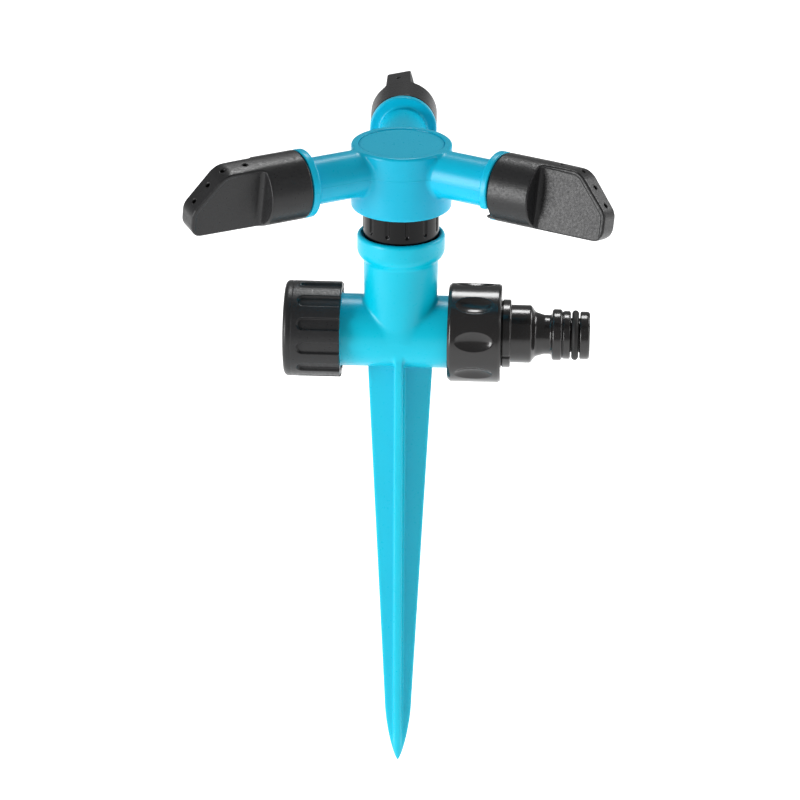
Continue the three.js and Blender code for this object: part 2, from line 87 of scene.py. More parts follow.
def hexColour(code):  # an sRGB hex value as linear red, green, blue, alpha
    values = [int(code[i:i + 2], 16) / 255 for i in (1, 3, 5)]
    linear = [v / 12.92 if v <= 0.04045 else ((v + 0.055) / 1.055) ** 2.4 for v in values]
    return (*linear, 1.0)


def addNode(tree, kind, inputs=None, **settings):  # adds a node, with its settings, values and links
    node = tree.nodes.new(kind)
    for name, value in settings.items():
        setattr(node, name, value)
    for name, value in (inputs or {}).items():
        if isinstance(value, bpy.types.NodeSocket):
            tree.links.new(value, node.inputs[name])
        else:
            node.inputs[name].default_value = value
    return node


def newMaterial(name):
    material = bpy.data.materials.new(name)
    material.use_nodes = True
    tree = material.node_tree
    tree.nodes.clear()
    place = addNode(tree, "ShaderNodeTexCoord").outputs["Object"]
    return material, tree, place


def mouldedPlastic(name, look, seam=None):
    # A moulded plastic: a soft cloud of two close shades, a fine grain in its gloss and its surface,
    # and long shallow sink marks. seam adds the mould's parting line, a raised line where one
    # coordinate passes a value.
    material, tree, place = newMaterial(name)
    cloud = addNode(tree, "ShaderNodeTexNoise", {
        "Vector": place, "Scale": 1 / (look["cloudMm"] * millimetre), "Detail": 3.0, "Roughness": 0.55})
    shade = addNode(tree, "ShaderNodeMix", {
        "Factor": cloud.outputs["Fac"], "A": hexColour(look["darker"]), "B": hexColour(look["lighter"])},
        data_type="RGBA")
    grain = addNode(tree, "ShaderNodeTexNoise", {
        "Vector": place, "Scale": 1 / (look["grainMm"] * millimetre), "Detail": 2.0, "Roughness": 0.6})
    gloss = addNode(tree, "ShaderNodeMapRange", {
        "Value": grain.outputs["Fac"], "From Min": 0.3, "From Max": 0.7,
        "To Min": look["roughness"] - look["glossSpread"],
        "To Max": look["roughness"] + look["glossSpread"]})
    sink = addNode(tree, "ShaderNodeTexNoise", {
        "Vector": place, "Scale": 1 / (look["sinkMm"] * millimetre), "Detail": 1.0})
    slow = addNode(tree, "ShaderNodeBump", {
        "Height": sink.outputs["Fac"], "Strength": look["sinkBump"], "Distance": 0.5 * millimetre})
    fine = addNode(tree, "ShaderNodeBump", {
        "Height": grain.outputs["Fac"], "Strength": look["grainBump"], "Distance": 0.05 * millimetre,
        "Normal": slow.outputs["Normal"]})
    normal = fine.outputs["Normal"]
    if seam:
        split = addNode(tree, "ShaderNodeSeparateXYZ", {"Vector": place})
        apart = addNode(tree, "ShaderNodeMath", {
            0: split.outputs[seam["axis"]], 1: seam["at"] * millimetre}, operation="SUBTRACT")
        away = addNode(tree, "ShaderNodeMath", {0: apart.outputs[0]}, operation="ABSOLUTE")
        line = addNode(tree, "ShaderNodeMapRange", {
            "Value": away.outputs[0], "From Min": 0.0, "From Max": seam["widthMm"] * millimetre,
            "To Min": 1.0, "To Max": 0.0}, interpolation_type="SMOOTHSTEP")
        raised = addNode(tree, "ShaderNodeBump", {
            "Height": line.outputs["Result"], "Strength": seam["strength"], "Distance": 0.12 * millimetre,
            "Normal": normal})
        normal = raised.outputs["Normal"]
    shader = addNode(tree, "ShaderNodeBsdfPrincipled", {
        "Base Color": shade.outputs["Result"], "Roughness": gloss.outputs["Result"], "Normal": normal,
        "IOR": look["ior"], "Specular IOR Level": look["shine"], "Subsurface Weight": look["translucence"],
        "Subsurface Radius": (0.3, 0.8, 1.0), "Subsurface Scale": 1.2 * millimetre})
    addNode(tree, "ShaderNodeOutputMaterial", {"Surface": shader.outputs["BSDF"]})
    return material


# Polypropylene, injection moulded in a polished tool: an even, slightly waxy blue with soft highlights.
bluePolypropylene = {
    "darker": "#00abcb", "lighter": "#00b4d5", "cloudMm": 30.0, "grainMm": 0.9, "sinkMm": 16.0,
    "roughness": 0.3, "glossSpread": 0.03, "grainBump": 0.04, "sinkBump": 0.03, "ior": 1.49,
    "shine": 0.28, "translucence": 0.1,
}
# The same polypropylene in the body's batch, a shade greener.
bodyPolypropylene = {**bluePolypropylene, "darker": "#00b1ca", "lighter": "#00bad3"}
# ABS moulded in a spark-eroded tool: charcoal with a fine satin grain. The real grain is about
# 0.05 mm, and it is drawn at 0.8 mm so that it shows.
satinAbs = {
    "darker": "#1d1d1e", "lighter": "#252526", "cloudMm": 14.0, "grainMm": 0.8, "sinkMm": 9.0,
    "roughness": 0.36, "glossSpread": 0.09, "grainBump": 1.0, "sinkBump": 0.03, "ior": 1.53,
    "shine": 0.3, "translucence": 0.0,
}
# Glass-free nylon from a polished tool: deep black with sharp highlights.
glossNylon = {
    "darker": "#1a1919", "lighter": "#211f1f", "cloudMm": 12.0, "grainMm": 0.7, "sinkMm": 8.0,
    "roughness": 0.2, "glossSpread": 0.03, "grainBump": 0.03, "sinkBump": 0.05, "ior": 1.53,
    "shine": 0.5, "translucence": 0.0,
}
# The same nylon, made darker and less shiny for the collar: painted shade, standing in for the shade that
# the hub and the socket's lip cast on the collar.
paintedShadeNylon = {**glossNylon, "darker": "#070708", "lighter": "#0a0a0b", "roughness": 0.14, "shine": 0.18}
# Nitrile rubber, compression moulded: dull, slightly brown black.
nitrileRubber = {
    "darker": "#0f0e0e", "lighter": "#161514", "cloudMm": 5.0, "grainMm": 0.25, "sinkMm": 4.0,
    "roughness": 0.62, "glossSpread": 0.06, "grainBump": 0.2, "sinkBump": 0.02, "ior": 1.52,
    "shine": 0.4, "translucence": 0.0,
}
# Acetal: a cool milky white with a greasy sheen.
whiteAcetal = {
    "darker": "#dcdbd4", "lighter": "#e8e7e1", "cloudMm": 10.0, "grainMm": 0.6, "sinkMm": 8.0,
    "roughness": 0.36, "glossSpread": 0.04, "grainBump": 0.04, "sinkBump": 0.02, "ior": 1.48,
    "shine": 0.5, "translucence": 0.2,
}


def brushedSpringSteel():
    # Stainless spring steel, stamped: bright metal with fine grinding lines 0.15 mm apart.
    material, tree, place = newMaterial("stamped spring steel")
    stretched = addNode(tree, "ShaderNodeMapping", {"Vector": place, "Scale": (1.0, 12.0, 1.0)})
    lines = addNode(tree, "ShaderNodeTexNoise", {
        "Vector": stretched.outputs["Vector"], "Scale": 1 / (1.8 * millimetre), "Detail": 2.0})
    gloss = addNode(tree, "ShaderNodeMapRange", {
        "Value": lines.outputs["Fac"], "To Min": 0.22, "To Max": 0.4})
    bump = addNode(tree, "ShaderNodeBump", {
        "Height": lines.outputs["Fac"], "Strength": 0.15, "Distance": 0.03 * millimetre})
    shader = addNode(tree, "ShaderNodeBsdfPrincipled", {
        "Base Color": hexColour("#b9babd"), "Metallic": 1.0, "Roughness": gloss.outputs["Result"],
        "Normal": bump.outputs["Normal"]})
    addNode(tree, "ShaderNodeOutputMaterial", {"Surface": shader.outputs["BSDF"]})
    return material


materials = {
    "body": mouldedPlastic("moulded polypropylene body", bodyPolypropylene,
                           {"axis": "Y", "at": 0.0, "widthMm": 0.18, "strength": 0.35}),
    "hub": mouldedPlastic("moulded polypropylene hub", bluePolypropylene,
                          {"axis": "Z", "at": armHeight + pipeHeight, "widthMm": 0.2, "strength": 0.6}),
    "cover": mouldedPlastic("moulded polypropylene cover", bluePolypropylene),
    "satin": mouldedPlastic("spark textured ABS", satinAbs),
    "gloss": mouldedPlastic("polished nylon", glossNylon),
    # The collar's nylon is darkened as painted shade.
    "nylonPaintedShade": mouldedPlastic("polished nylon darkened as painted shade", paintedShadeNylon),
    "rubber": mouldedPlastic("nitrile rubber", nitrileRubber),
    "acetal": mouldedPlastic("white acetal", whiteAcetal),
    "steel": brushedSpringSteel(),
}
print("materials made")


def finishPiece(name, points, faces, look, body, stands=()):
    # Puts points in millimetres and four-sided faces into a mesh, and hangs it on its CAD body.
    mesh = bpy.data.meshes.new(name)
    mesh.vertices.add(len(points))
    lifted = (points + np.array([0, 0, pipeHeight])) * millimetre
    mesh.vertices.foreach_set("co", lifted.astype(np.float32).ravel())
    mesh.loops.add(faces.size)
    mesh.loops.foreach_set("vertex_index", faces.astype(np.int32).ravel())
    mesh.polygons.add(len(faces))
    mesh.polygons.foreach_set("loop_start", np.arange(0, faces.size, 4, dtype=np.int32))
    mesh.update(calc_edges=True)
    shape = bmesh.new()
    shape.from_mesh(mesh)
    bmesh.ops.remove_doubles(shape, verts=shape.verts, dist=0.002 * millimetre)
    shape.to_mesh(mesh)
    shape.free()
    mesh.shade_smooth()
    piece = bpy.data.objects.new(name, mesh)
    bpy.context.scene.collection.objects.link(piece)
    mesh.materials.append(materials[look])
    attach(piece, body)
    if stands:
        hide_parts(*stands)
    print(f"{name}: {len(mesh.polygons)} faces")


def gridFaces(rows, columns, closeRows, closeColumns):
    # Faces of a grid of points, row by row, joined up at the ends where it closes on itself.
    i = np.arange(rows if closeRows else rows - 1)[:, None]
    j = np.arange(columns if closeColumns else columns - 1)[None, :]
    below, above = i * columns, ((i + 1) % rows) * columns
    left, right = j, (j + 1) % columns
    return np.stack([below + left, below + right, above + right, above + left], -1).reshape(-1, 4)


def softProfile(corners, spacing=None, arcSteps=6):
    # The outline through the corners, each rounded by an arc of its own radius: a corner is cut back
    # along both sides by radius over the tangent of half its angle. Straight runs get a point every
    # spacing. An outline that starts and ends on the axis stays open, any other closes on itself.
    corners = [(*c, 0.0)[:3] for c in corners]
    spots = np.array([c[:2] for c in corners], float)
    radii = [c[2] for c in corners]
    count = len(spots)
    isOpen = spots[0, 0] == 0 and spots[-1, 0] == 0
    outline = []
    for i in range(count):
        if radii[i] == 0 or (isOpen and i in (0, count - 1)):
            outline.append(spots[i][None])
            continue
        before, after = spots[i - 1] - spots[i], spots[(i + 1) % count] - spots[i]
        reachBefore, reachAfter = np.linalg.norm(before), np.linalg.norm(after)
        before, after = before / reachBefore, after / reachAfter
        half = math.acos(np.clip(before @ after, -1, 1)) / 2
        shares = [0.98 if radii[k % count] == 0 else 0.48 for k in (i - 1, i + 1)]
        cutBack = min(radii[i] / math.tan(half), shares[0] * reachBefore, shares[1] * reachAfter)
        radius = cutBack * math.tan(half)
        centre = spots[i] + (before + after) / np.linalg.norm(before + after) * radius / math.sin(half)
        start, end = spots[i] + before * cutBack - centre, spots[i] + after * cutBack - centre
        sweep = math.pi - 2 * half
        t = np.linspace(0, 1, arcSteps + 1)[:, None]
        outline.append(centre + (np.sin((1 - t) * sweep) * start + np.sin(t * sweep) * end)
                       / math.sin(sweep))
    outline = np.concatenate(outline)
    if spacing is None:
        return outline
    ends = outline[1:] if isOpen else np.roll(outline, -1, 0)
    filled = []
    for start, end in zip(outline, ends):
        pieces = max(1, round(np.linalg.norm(end - start) / spacing))
        filled.append(start + (end - start) * np.arange(pieces)[:, None] / pieces)
    if isOpen:
        filled.append(outline[-1:])
    return np.concatenate(filled)


def turnedPiece(name, corners, look, body, stands, axis="z", columns=128, spacing=None, reshape=None,
                centre=(0, 0, 0), heading=0.0):
    # A profile of (radius, distance along the axis) turned round the axis. reshape may move the radius
    # of each point by its angle and place, which cuts grooves, slots and scallops.
    profile = softProfile(corners, spacing)
    angle = np.linspace(0, 2 * np.pi, columns, endpoint=False)[None, :]
    radius = profile[:, :1] + 0 * angle
    along = profile[:, 1:] + 0 * angle
    if reshape:
        radius = reshape(radius, along, angle + 0 * radius)
    isOpen = profile[0, 0] == 0 and profile[-1, 0] == 0
    points = np.stack([radius * np.cos(angle), radius * np.sin(angle), along], -1).reshape(-1, 3)
    if axis == "x":
        points = points[:, [2, 1, 0]] * [1, 1, -1]
    turn = np.array([[math.cos(heading), math.sin(heading), 0],
                     [-math.sin(heading), math.cos(heading), 0], [0, 0, 1]])
    points = points @ turn + np.array(centre)
    faces = gridFaces(len(profile), columns, not isOpen, True)
    finishPiece(name, points, faces, look, body, stands)


def softStep(value, half):  # 1 where value is well below zero, 0 well above, smooth in between
    t = np.clip((half - value) / (2 * half), 0, 1)
    return t * t * (3 - 2 * t)


def wrapped(angle, count, first):  # angle from the nearest of count marks spread evenly from first
    step = 2 * np.pi / count
    return (angle - first + step / 2) % step - step / 2


# Solids as distance fields: negative inside, zero on the surface. The three joins below round the
# edge where two fields meet by a circle of the given radius.
def joined(a, b, radius):
    inside = np.maximum(radius, np.minimum(a, b))
    return inside - np.hypot(np.maximum(radius - a, 0), np.maximum(radius - b, 0))


def common(a, b, radius):
    outside = np.minimum(-radius, np.maximum(a, b))
    return outside + np.hypot(np.maximum(radius + a, 0), np.maximum(radius + b, 0))


def carved(a, b, radius):
    return common(a, -b, radius)


def fieldSurface(field, axes):
    # The surface where a field is zero, on the grid that three lists of coordinates make. Each cell
    # that the surface passes through gets one point, at the mean of its edges' crossings, and each
    # grid edge that the surface crosses gets one face round it. The points are then moved onto the
    # surface along the field's slope.
    shape = [len(a) for a in axes]
    x, y, z = np.meshgrid(*axes, indexing="ij", sparse=True)
    value = np.broadcast_to(field(x, y, z), shape)
    inside = value < 0
    filled = sum(inside[i:shape[0] - 1 + i, j:shape[1] - 1 + j, k:shape[2] - 1 + k].astype(np.int8)
                 for i in (0, 1) for j in (0, 1) for k in (0, 1))
    cells = np.argwhere((filled > 0) & (filled < 8))
    numbers = np.full([n - 1 for n in shape], -1, np.int64)
    numbers[tuple(cells.T)] = np.arange(len(cells))
    total, crossings = np.zeros((len(cells), 3)), np.zeros(len(cells))
    for direction in range(3):
        others = [d for d in range(3) if d != direction]
        for first in (0, 1):
            for second in (0, 1):
                start = cells.copy()
                start[:, others[0]] += first
                start[:, others[1]] += second
                end = start.copy()
                end[:, direction] += 1
                a, b = value[tuple(start.T)], value[tuple(end.T)]
                crossed = (a < 0) != (b < 0)
                share = np.where(crossed, a / np.where(crossed, a - b, 1), 0)
                near = np.stack([axes[d][start[:, d]] for d in range(3)], 1)
                far = np.stack([axes[d][end[:, d]] for d in range(3)], 1)
                total += crossed[:, None] * (near + (far - near) * share[:, None])
                crossings += crossed
    points = total / crossings[:, None]
    reach = 0.01
    for _ in range(3):
        here = field(*points.T)
        slope = np.stack([
            field(*(points + nudge).T) - field(*(points - nudge).T)
            for nudge in np.eye(3) * reach], 1) / (2 * reach)
        steep = np.maximum((slope ** 2).sum(1), 0.25)
        points -= np.clip(here / steep, -0.3, 0.3)[:, None] * slope
    faces = []
    for direction in range(3):
        others = [(direction + 1) % 3, (direction + 2) % 3]
        low = [slice(1, -1)] * 3
        low[direction] = slice(0, -1)
        high = list(low)
        high[direction] = slice(1, None)
        leaving = inside[tuple(low)] & ~inside[tuple(high)]
        entering = ~inside[tuple(low)] & inside[tuple(high)]
        for crossed, order in ((leaving, (0, 1, 2, 3)), (entering, (3, 2, 1, 0))):
            edge = np.argwhere(crossed) + [0 if d == direction else 1 for d in range(3)]
            ring = []
            for first, second in ((-1, -1), (0, -1), (0, 0), (-1, 0)):
                cell = edge.copy()
                cell[:, others[0]] += first
                cell[:, others[1]] += second
                ring.append(numbers[tuple(cell.T)])
            faces.append(np.stack([ring[k] for k in order], 1))
    return points, np.concatenate(faces)


def steps(low, high, step):  # grid lines from just below low to just above high
    return np.arange(low - step, high + 1.5 * step, step)


# The body: pipe, socket and spike in one moulding.
bodySizes = {
    "pipeRadius": 12.5, "pipeBore": 10.2, "pipeLeft": -34.6, "pipeRight": 28.0,
    "stopRing": 13.2, "stopLeft": -21.6, "stopRight": -20.5,
    "socketRadius": 12.45, "socketTaper": 0.3 / 27, "lipRadius": 15.0, "lipBottom": 27.0, "lipTop": 36.5,
    "riser": 7.0, "threadBore": 10.95, "threadFloor": 20.4, "mouth": 13.4, "mouthFloor": 34.9,
    "socketTop": 32, "flareOut": 0.744, "flareUp": 0.669,  # the lip's underside leans out 42 degrees
    "teeFillet": 0.8, "ribThickness": 2.8, "ribFillet": 0.9, "ribEdge": 0.5,
    "spikeTop": -3.0, "shoulder": 11.1, "shoulderZ": -15.0, "neck": 4.85, "neckZ": -144.0, "tipZ": -169.3,
    "spikeFillet": 0.9, "gridStep": 0.45,
}


def spikeHalfWidth(z):  # a straight taper down to the neck, then an ogive to the point
    s = bodySizes
    slope = (s["shoulder"] - s["neck"]) / (s["shoulderZ"] - s["neckZ"])
    straight = np.minimum(s["shoulder"], s["neck"] + slope * (z - s["neckZ"]))
    fallen = np.clip((s["neckZ"] - z) / (s["neckZ"] - s["tipZ"]), 0, 1)
    return np.where(z > s["neckZ"], straight, s["neck"] * (1 - fallen ** 1.6) ** 0.75)


def bodyField(x, y, z):
    # Two crossing cylinders and a crossed blade, joined with fillets, less the waterways.
    s = bodySizes
    fromPipe, fromAxis = np.hypot(y, z), np.hypot(x, y)
    middle, half = (s["pipeLeft"] + s["pipeRight"]) / 2, (s["pipeRight"] - s["pipeLeft"]) / 2
    pipe = common(fromPipe - s["pipeRadius"], np.abs(x - middle) - half, 0.5)
    stopMiddle, stopHalf = (s["stopLeft"] + s["stopRight"]) / 2, (s["stopRight"] - s["stopLeft"]) / 2
    stop = common(fromPipe - s["stopRing"], np.abs(x - stopMiddle) - stopHalf, 0.25)
    pipe = joined(pipe, stop, 0.2)
    socket = np.maximum(fromAxis - s["socketRadius"] - s["socketTaper"] * z,
                        np.maximum(-z, z - s["socketTop"]))
    outward, upward = fromAxis - s["socketRadius"] - 0.3, z - s["lipBottom"]
    flare = outward * s["flareOut"] - upward * s["flareUp"]
    lip = common(common(fromAxis - s["lipRadius"], z - s["lipTop"], 1.3), flare, 0.9)
    socket = joined(socket, lip, 0.4)
    blade = joined(np.abs(y) - s["ribThickness"] / 2, np.abs(x) - s["ribThickness"] / 2, s["ribFillet"])
    blade = common(blade, fromAxis - spikeHalfWidth(z), s["ribEdge"])
    blade = np.maximum(blade, z - s["spikeTop"])
    whole = joined(joined(pipe, socket, s["teeFillet"]), blade, s["spikeFillet"])
    bore = np.maximum(fromAxis - s["riser"], -z)
    bore = np.minimum(bore, np.maximum(fromAxis - s["threadBore"], s["threadFloor"] - z))
    bore = np.minimum(bore, np.maximum(fromAxis - s["mouth"], s["mouthFloor"] - z))
    whole = carved(whole, fromPipe - s["pipeBore"], 0.4)
    return carved(whole, bore, 0.3)


bodyStep = bodySizes["gridStep"]
heights = np.concatenate([  # coarser down the plain blade than round the pipe and at the point
    np.arange(bodySizes["tipZ"] - 1.0, bodySizes["neckZ"], 0.6),
    np.arange(bodySizes["neckZ"], -20.0, 1.6), steps(-18.4, bodySizes["lipTop"], bodyStep)])
bodyAxes = (
    steps(bodySizes["pipeLeft"], bodySizes["pipeRight"], bodyStep),
    steps(-bodySizes["lipRadius"], bodySizes["lipRadius"], bodyStep), heights)
finishPiece("spikeBody", *fieldSurface(bodyField, bodyAxes), "body", "stand", ["spike_body"])


def threadRidge(name, sizes, look, body, axis):
    # A right-handed thread: a rounded wedge section carried along a helix, its height fading out over
    # the first and last quarter turn.
    turns = (sizes["to"] - sizes["from"]) / sizes["pitch"]
    share = np.linspace(0, 1, round(turns * 64))[:, None]
    fade = np.clip(np.minimum(share, 1 - share) * turns * 4, 0, 1)
    around = np.linspace(0, 2 * np.pi, 14, endpoint=False)[None, :]
    out = 0.5 - 0.5 * np.cos(around)  # 0 under the surface, 1 on the crest
    wide = np.sin(around) * (sizes["base"] * (1 - out) + sizes["tip"] * out) * 0.8
    angle = share * turns * 2 * np.pi
    radius = sizes["root"] - 0.5 + out * (0.5 + (sizes["crest"] - sizes["root"]) * fade - 0.1 * (1 - fade))
    height = sizes["from"] + (sizes["to"] - sizes["from"]) * share + wide
    points = np.stack([radius * np.cos(angle), radius * np.sin(angle), height + 0 * angle], -1)
    ends = points.mean(1, keepdims=True)  # both ends are drawn together to a point
    points = np.concatenate([ends[:1] + 0 * points[:1], points, ends[-1:] + 0 * points[-1:]])
    rows, columns = points.shape[:2]
    points = points.reshape(-1, 3)
    if axis == "x":
        points = points[:, [2, 1, 0]] * [1, 1, -1]
    faces = gridFaces(rows, columns, False, True)[:, ::-1]
    finishPiece(name, points, faces, look, body)


pipeThread = {"pitch": 1.814, "root": 12.5, "crest": 13.2, "base": 0.9, "tip": 0.45}
threadRidge("capEndThread", {**pipeThread, "from": -33.4, "to": -24.0}, "body", "stand", "x")
threadRidge("hoseEndThread", {**pipeThread, "from": 19.5, "to": 26.8}, "body", "stand", "x")
print("body made")

# The screw cap on the pipe's left end.
capSizes = {"radius": 16.5, "bore": 13.6, "wall": 2.5, "slots": 12, "slotWidth": 4.0, "slotDepth": 1.0,
            "slotStart": 5.0, "firstSlot": 2.5, "bandAt": 2.6, "bandHalf": 0.18, "bandDepth": 0.16,
            "faceRing": 11.0, "faceDepth": 0.5}


def slotDistance(across, along, width):  # from a slot with a round end at along = 0, running upwards
    return np.hypot(across, np.minimum(along - width / 2, 0)) - width / 2


def capGrooves(radius, along, angle):  # round-ended slots, and a fine turned line near the face
    s = capSizes
    across = wrapped(angle, s["slots"], math.radians(s["firstSlot"])) * s["radius"]
    slot = slotDistance(across, along - capLow[0] - s["slotStart"], s["slotWidth"])
    band = np.exp(-(((along - capLow[0] - s["bandAt"]) / s["bandHalf"]) ** 2)) * s["bandDepth"]
    outer = radius > s["radius"] - 2
    return radius - outer * (s["slotDepth"] * softStep(slot, 0.22) + band)


capFace, capMouth = capLow[0], capHigh[0]
faceInner, faceFloor = capSizes["faceRing"] - capSizes["faceDepth"], capFace + capSizes["faceDepth"]
capFloor = capFace + capSizes["wall"]
turnedPiece("endCap", [
    (0, faceFloor), (faceInner, faceFloor, 0.3), (capSizes["faceRing"], capFace, 0.3),
    (capSizes["radius"], capFace, 1.5), (capSizes["radius"], capMouth, 0.45),
    (capSizes["bore"], capMouth, 0.4), (capSizes["bore"], capFloor, 0.4), (0, capFloor)],
    "satin", "cap", ["end_cap"], "x", 560, 0.3, capGrooves)

# The swivel nut on the pipe's right end, with a ring of shallow dishes round it.
nutSizes = {"radius": 17.0, "rear": 16.2, "front": 16.5, "bore": 13.6, "neck": 12.05, "neckLength": 2.1,
            "scallops": 8, "firstScallop": 34.0, "length": 12.7, "width": 6.8, "depth": 1.45}


def nutScallops(radius, along, angle):  # dishes with an elliptical edge, deepest in the middle
    s = nutSizes
    across = wrapped(angle, s["scallops"], math.radians(s["firstScallop"])) * s["radius"]
    middle = (nutLow[0] + nutHigh[0]) / 2
    inside = 1 - (across / (s["width"] / 2)) ** 2 - ((along - middle) / (s["length"] / 2)) ** 2
    return radius - (radius > 15) * s["depth"] * np.maximum(inside, 0) ** 0.8


nutMouth, nutEnd = nutLow[0], nutHigh[0]
nutShoulder = nutEnd - nutSizes["neckLength"]
turnedPiece("inletNut", [
    (nutSizes["bore"], nutMouth, 0.3), (nutSizes["rear"], nutMouth, 0.4),
    (nutSizes["radius"], nutMouth + 1.0, 0.9), (nutSizes["radius"], nutEnd - 0.9, 0.6),
    (nutSizes["front"], nutEnd, 0.3), (nutSizes["neck"], nutEnd, 0.3),
    (nutSizes["neck"], nutShoulder, 0.2), (nutSizes["bore"], nutShoulder, 0.2)],
    "gloss", "swivel_nut", ["inlet_nut"], "x", 480, 0.35, nutScallops)

# The hose nipple, from its hidden collar in the nut to its tip.
nippleSizes = {
    "bore": 4.6, "collar": 12.6, "neck": 11.3, "flange": 11.75, "barrel": 10, "waist": 6.8, "rib": 8.85,
    "land": 8.3, "groove": 5.9, "tip": 8.25, "collarAt": 30.6, "neckAt": 32.4, "flangeAt": 35.3,
    "flangeEnd": 38.1, "barrelEnd": 45.0, "grooveAt": 58.6, "grooveEnd": 61.8, "tipEnd": 65.3,
    "notchAngle": -68.0, "notchWidth": 1.1, "notchDepth": 0.6,
}


def flangeNotch(radius, along, angle):  # a narrow slot across the flange's rim
    s = nippleSizes
    across = wrapped(angle, 1, math.radians(s["notchAngle"])) * s["flange"]
    onFlange = (np.abs(along - 36.7) < 1.45) & (radius > 11)  # the flange runs 1.4 either side of 36.7
    return radius - onFlange * s["notchDepth"] * softStep(np.abs(across) - s["notchWidth"] / 2, 0.15)


nip = nippleSizes
turnedPiece("inletNipple", [
    (nip["bore"], nip["collarAt"], 0.3), (nip["collar"], nip["collarAt"], 0.3),
    (nip["collar"], nip["neckAt"], 0.2), (nip["neck"], nip["neckAt"], 0.2),
    (nip["neck"], nip["flangeAt"], 0.2), (nip["flange"], nip["flangeAt"], 0.35),
    (nip["flange"], nip["flangeEnd"], 0.5), (nip["barrel"], nip["flangeEnd"], 0.3),
    (nip["barrel"], nip["barrelEnd"], 1.1), (7.7, 46.6, 2.0), (nip["waist"], 49.6, 3.0),
    (nip["waist"], 51.6), (7.2, 52.1, 0.4), (nip["rib"], 52.3, 1.2), (nip["rib"], 55.4, 1.2),
    (7.9, 55.9, 0.3), (nip["land"], 56.3, 0.5), (nip["land"], nip["grooveAt"], 0.6),
    (nip["groove"], nip["grooveAt"], 0.2), (nip["groove"], nip["grooveEnd"], 0.2),
    (nip["tip"], nip["grooveEnd"], 0.5), (nip["tip"], nip["tipEnd"], 1.1), (5.2, nip["tipEnd"], 0.5),
    (nip["bore"], 64.4, 0.5)],
    "gloss", "hose_end", ["inlet_nipple"], "x", 320, 0.4, flangeNotch)

# The head: collar, spindle, washers and rings.
collarSizes = {"radius": 13.0, "bore": 6.6, "sleeve": 9.9, "shoulder": 11.6, "recess": 9.7,
               "recessDepth": 1.4, "sleeveLength": 9.7, "grooves": 12, "width": 1.3, "depth": 0.5,
               "first": 12.0, "start": 13.1}


def collarGrooves(radius, along, angle):  # narrow slots with a round lower end
    s = collarSizes
    across = wrapped(angle, s["grooves"], math.radians(s["first"])) * s["radius"]
    groove = slotDistance(across, along - (collarLow[2] - pipeHeight) - s["start"], s["width"])
    return radius - (radius > 12) * s["depth"] * softStep(groove, 0.22)


collar = collarSizes
tail, top = collarLow[2] - pipeHeight, collarHigh[2] - pipeHeight
sleeveTop, recessFloor = tail + collar["sleeveLength"], top - collar["recessDepth"]
# The collar and its thread wear the nylon darkened as painted shade.
turnedPiece("headCollar", [
    (collar["bore"], tail, 0.3), (collar["sleeve"], tail, 0.5), (collar["sleeve"], sleeveTop, 0.2),
    (collar["shoulder"], sleeveTop, 0.2), (collar["radius"], tail + 9.9, 1.5),
    (collar["radius"], top, 0.3), (collar["recess"], top, 0.2), (collar["recess"], recessFloor, 0.15),
    (collar["bore"], recessFloor, 0.2)],
    "nylonPaintedShade", "collar", ["head_collar"], "z", 480, 0.35, collarGrooves)
threadRidge("collarThread", {**pipeThread, "root": collar["sleeve"], "crest": 10.5,
                             "from": tail + 1.2, "to": tail + 7.8}, "nylonPaintedShade", "collar", "z")

# sealFloor and ringFloor are the radii at the bottom of the O-ring's and the retaining ring's grooves.
spindle = {"bore": 3.6, "flange": 9.6, "stem": 6.2, "sealFloor": 5, "ringFloor": 5.2,
           "bottom": 23, "flangeTop": 25.2, "sealFrom": 50.4, "sealTo": 52, "ringFrom": 56.8, "ringTo": 58,
           "top": 58.8}
turnedPiece("headSpindle", [
    (spindle["bore"], spindle["bottom"], 0.4), (spindle["flange"], spindle["bottom"], 0.3),
    (spindle["flange"], spindle["flangeTop"], 0.3), (spindle["stem"], spindle["flangeTop"], 0.4),
    (spindle["stem"], spindle["sealFrom"], 0.15), (spindle["sealFloor"], spindle["sealFrom"], 0.1),
    (spindle["sealFloor"], spindle["sealTo"], 0.1), (spindle["stem"], spindle["sealTo"], 0.15),
    (spindle["stem"], spindle["ringFrom"], 0.1), (spindle["ringFloor"], spindle["ringFrom"], 0.1),
    (spindle["ringFloor"], spindle["ringTo"], 0.1), (spindle["stem"], spindle["ringTo"], 0.1),
    (spindle["stem"], spindle["top"], 0.3), (spindle["bore"], spindle["top"], 0.3)],
    "acetal", "head", ["head_spindle"], "z", 96, 1.0)

washers = {  # CAD node, inner and outer radius, material, body and axis
    "headSeal": ("head_seal", 6.0, 9.8, "rubber", "head", "z"),
    "lowerThrustWasher": ("lower_thrust_washer", 6.6, 9.3, "acetal", "head", "z"),
    "upperThrustWasher": ("upper_thrust_washer", 6.6, 9.1, "acetal", "head", "z"),
    "endCapWasher": ("end_cap_washer", 9.4, 12.9, "rubber", "cap_seal", "x"),
    "inletWasher": ("inlet_washer", 8.2, 12.6, "rubber", "hose_end", "x"),
}
for name, (node, inner, outer, look, body, axis) in washers.items():
    low, high = nodeBox(node)
    start = low[0] if axis == "x" else low[2] - pipeHeight
    end = high[0] if axis == "x" else high[2] - pipeHeight
    turnedPiece(name, [(inner, start, 0.2), (outer, start, 0.3), (outer, end, 0.3), (inner, end, 0.2)],
                look, body, [node], axis, 96, 0.8)


def oRing(name, node, ringRadius, section, body, axis, at, heading=0.0, centre=(0, 0, 0)):
    # A circle of the section's width, carried round a circle of ringRadius.
    around = np.linspace(0, 2 * np.pi, 20, endpoint=False)
    corners = [(ringRadius + section / 2 * math.cos(a), at + section / 2 * math.sin(a)) for a in around]
    turnedPiece(name, corners, "rubber", body, [node], axis, 96, None, None, centre, heading)


oRing("nippleORing", "nipple_o_ring", 7.4, 2.4, "hose_end", "x", 60.2)
oRing("spindleORing", "spindle_o_ring", 5.82, 0.9, "head", "z", 51.2)
print("pipe ends and head made")

